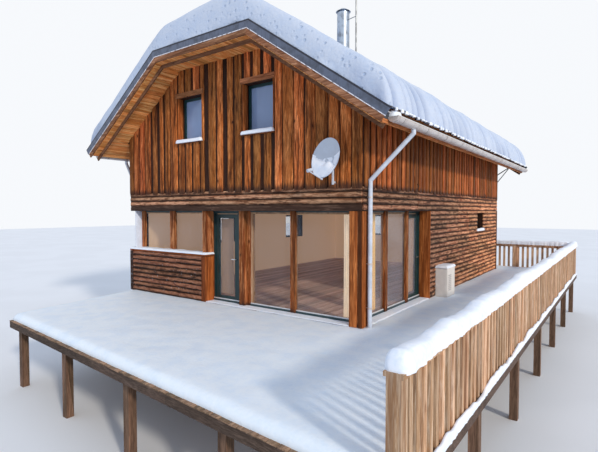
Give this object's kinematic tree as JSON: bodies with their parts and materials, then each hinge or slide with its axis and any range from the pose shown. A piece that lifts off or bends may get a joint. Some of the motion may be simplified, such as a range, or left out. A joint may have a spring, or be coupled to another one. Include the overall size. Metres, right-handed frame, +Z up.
{
  "type": "alpine chalet",
  "caption": "Timber-clad alpine chalet with a half-hipped snow-covered roof, glazed ground floor corner, snowy deck and wooden railings; glazed doors swing inwards.",
  "frame": {"origin": "middle of the box around the whole chalet and deck, at the lowest ground line", "axes": "+Z up, front gable faces -Y, railed side of the deck faces +X"},
  "size_m": [10.24, 15.51, 9.25],
  "materials": {
    "band_wood": "weathered dark boards",
    "beam_wood": "weathered larch",
    "box_paint": "off-white powder coat",
    "cladding": "weathered larch boards, brown stain",
    "concrete": "rough cast concrete",
    "deck_wood": "weathered larch",
    "dish_paint": "light grey powder coat",
    "floor_wood": "oiled boards",
    "frame_wood": "clear varnished wood",
    "glass": "clear sealed unit",
    "green_paint": "dark green satin paint",
    "post_wood": "stained larch",
    "rail_wood": "light larch",
    "roof_sheet": "matt sheet",
    "slate_metal": "slate grey satin sheet",
    "snow": "settled dry snow",
    "soffit_wood": "light larch boards",
    "steel": "brushed",
    "steel_dark": "dark satin paint",
    "zinc": "galvanised, dull"
  },
  "bodies": {
    "chalet": {"barge_boards": "post_wood", "corner_post": "post_wood", "deck_beams": "beam_wood", "deck_boards": "deck_wood", "deck_posts": "beam_wood", "deck_rim": "deck_wood", "deck_snow": "snow", "dish": "dish_paint", "dish_mount": "dish_paint", "door_hinges": "steel", "door_pier": "post_wood", "downpipes": "zinc", "eave_boards": "soffit_wood", "eave_braces": "steel_dark", "eave_soffits": "soffit_wood", "flue": "steel", "front_door_frame": "green_paint", "front_gable": "cladding", "glazing_frames": "frame_wood", "glazing_panes": "glass", "glazing_posts": "post_wood", "ground_floor": "floor_wood", "gutters": "zinc", "hip_soffits": "soffit_wood", "ledge_snow": "snow", "left_wall": "cladding", "mast": "steel", "parapet": "cladding", "plinth_cross_walls": "concrete", "plinth_long_walls": "concrete", "rail_snow": "snow", "rainwater_brackets": "zinc", "rear_gable": "cladding", "rear_railing": "rail_wood", "rear_wall": "cladding", "right_railing": "rail_wood", "right_wall": "cladding", "roof_hips": "roof_sheet", "roof_left": "roof_sheet", "roof_right": "roof_sheet", "roof_snow_hips": "snow", "roof_snow_left": "snow", "roof_snow_right": "snow", "side_door_frame": "green_paint", "small_window_frames": "green_paint", "small_window_panes": "glass", "storey_band_eaves": "band_wood", "storey_band_gables": "band_wood", "upper_floor": "floor_wood", "upper_side_walls": "cladding", "utility_box": "box_paint", "verge_flashings": "slate_metal", "window_sills": "post_wood"},
    "front_door": {"front_door_fittings": "steel", "front_door_glass": "glass", "front_door_leaf": "green_paint"},
    "side_door": {"side_door_fittings": "steel", "side_door_glass": "glass", "side_door_leaf": "green_paint"}
  },
  "joints": [
    {"name": "front_door_hinge", "type": "hinge", "parent": "chalet", "child": "front_door", "pos_m": [-1.3055, -3.496, 2.55], "axis": [0, 0, 1], "range_deg": [0, 90]},
    {"name": "side_door_hinge", "type": "hinge", "parent": "chalet", "child": "side_door", "pos_m": [2.351, -1.1505, 2.55], "axis": [0, 0, 1], "range_deg": [0, 90]}
  ]
}
